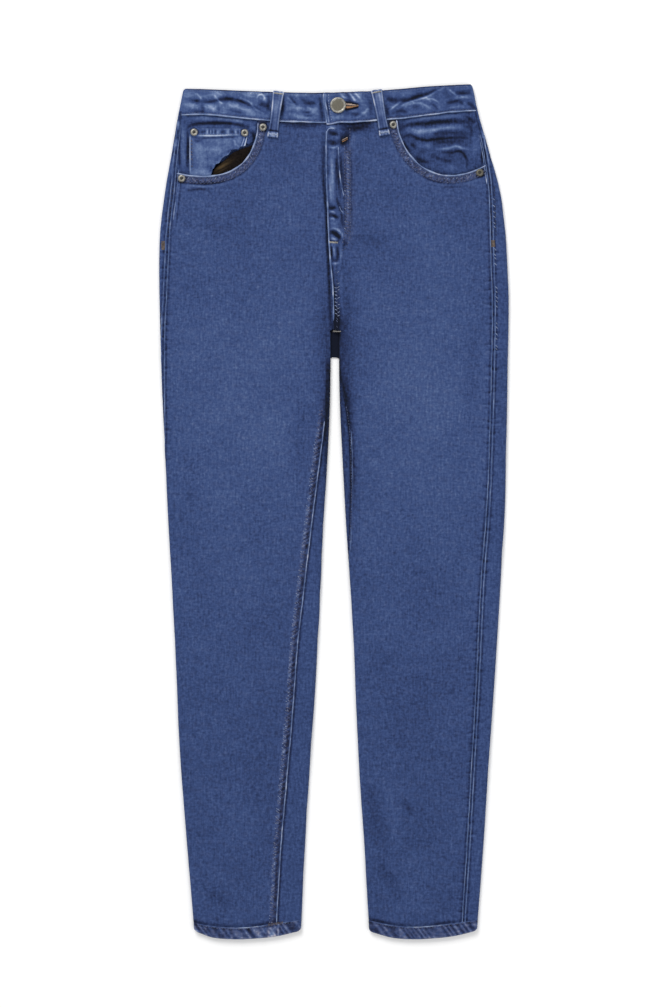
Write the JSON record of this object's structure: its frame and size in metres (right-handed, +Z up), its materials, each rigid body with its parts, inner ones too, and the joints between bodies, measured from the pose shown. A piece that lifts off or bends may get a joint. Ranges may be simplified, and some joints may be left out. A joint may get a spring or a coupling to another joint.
{
  "type": "mom jeans",
  "caption": "Mom jeans laid flat front up: high waist, full hips, tapered legs, slanted pockets with coin pocket, buttoned fly, belt loops, stitched hems",
  "frame": {"origin": "centre of the outline on the surface that the jeans lie on, half way along their length and across the hips", "axes": "+Y runs from the hems up to the waist, +X towards the wearer's left side, +Z up out of the front of the jeans"},
  "size_m": [0.42, 1.0261, 0.0118],
  "materials": {
    "denim": "stone-washed cotton denim, mottled and faded on the thighs and along the seams",
    "pocketing": "plain cotton pocket cloth",
    "aged_brass": "antiqued, low sheen"
  },
  "bodies": {
    "root": {"front_right": "denim", "front_left": "denim", "back_right": "denim", "back_left": "denim", "yoke_right": "denim", "yoke_left": "denim", "hem_right": "denim", "hem_left": "denim", "back_pocket_right": "denim", "back_pocket_left": "denim", "waistband": "denim", "pocket_facing_right": "denim", "pocket_facing_left": "denim", "coin_pocket": "denim", "pocket_bag_right": "pocketing", "belt_loop_front_right": "denim", "belt_loop_front_left": "denim", "belt_loop_back_right": "denim", "belt_loop_back_centre": "denim", "belt_loop_back_left": "denim", "rivet_coin_outer": "aged_brass", "rivet_coin_inner": "aged_brass", "rivet_right_inner": "aged_brass", "rivet_right_outer": "aged_brass", "rivet_left_inner": "aged_brass", "rivet_left_outer": "aged_brass", "button": "aged_brass"}
  },
  "joints": []
}
